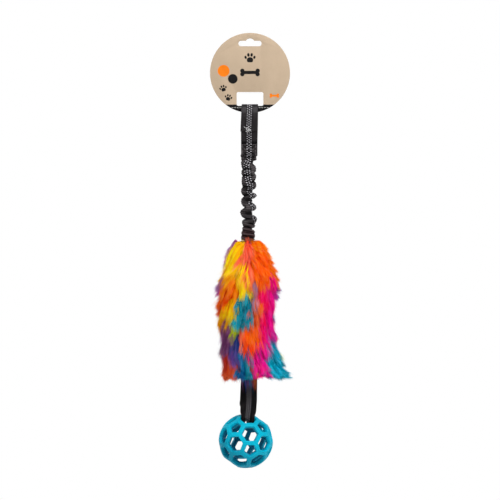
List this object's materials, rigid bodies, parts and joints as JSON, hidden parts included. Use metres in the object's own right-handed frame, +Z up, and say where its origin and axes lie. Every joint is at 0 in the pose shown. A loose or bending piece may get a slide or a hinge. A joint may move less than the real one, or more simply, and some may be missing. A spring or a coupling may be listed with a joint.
{
  "type": "dog tug toy",
  "caption": "Long tug toy: webbing handle on a gathered bungee, a long-pile plush sleeve and a lattice ball on a strap, hung from a round card tag.",
  "frame": {"origin": "top middle of the arch over the tag's hanging slot, where the display peg bears", "axes": "+Z up along the hanging toy, +X to the right seen from the printed front of the tag, +Y away from the front"},
  "size_m": [0.1, 0.0748, 0.5441],
  "materials": {
    "kraft_card": "matte",
    "black_webbing": "matte",
    "gathered_webbing": "matte",
    "elastic": "matte",
    "backing_knit": "matte",
    "dyed_pile": "matte",
    "turquoise_rubber": "satin"
  },
  "bodies": {
    "tag": {"hang_tag": "kraft_card"},
    "handle": {"handle_strap": "black_webbing", "sleeve_head": "gathered_webbing"},
    "bungee": {"bungee_sleeve": "gathered_webbing", "elastic_cord": "elastic"},
    "tug_body": {"sleeve_tail": "gathered_webbing", "lower_strap": "black_webbing", "fur_backing": "backing_knit", "fur_pile": "dyed_pile"},
    "ball": {"ball": "turquoise_rubber"}
  },
  "joints": [
    {"name": "tag_swing", "type": "hinge", "parent": "tag", "child": "handle", "pos_m": [-0.0012, 0, -0.08425], "axis": [1, 0, 0], "range_deg": [-40, 40]},
    {"name": "bungee_swing", "type": "hinge", "parent": "handle", "child": "bungee", "pos_m": [-0.0012, 0, -0.1482], "axis": [1, 0, 0], "range_deg": [-50, 50]},
    {"name": "bungee_stretch", "type": "slide", "parent": "bungee", "child": "tug_body", "axis": [0, 0, -1], "range_m": [0, 0.1], "stiffness_N_per_m": 600, "deforming": ["bungee_sleeve", "elastic_cord"]},
    {"name": "ball_swing", "type": "hinge", "parent": "tug_body", "child": "ball", "pos_m": [-0.00456, -0.00345, -0.4724], "axis": [0.9833, 0.1822, 0], "range_deg": [-25, 25]}
  ]
}
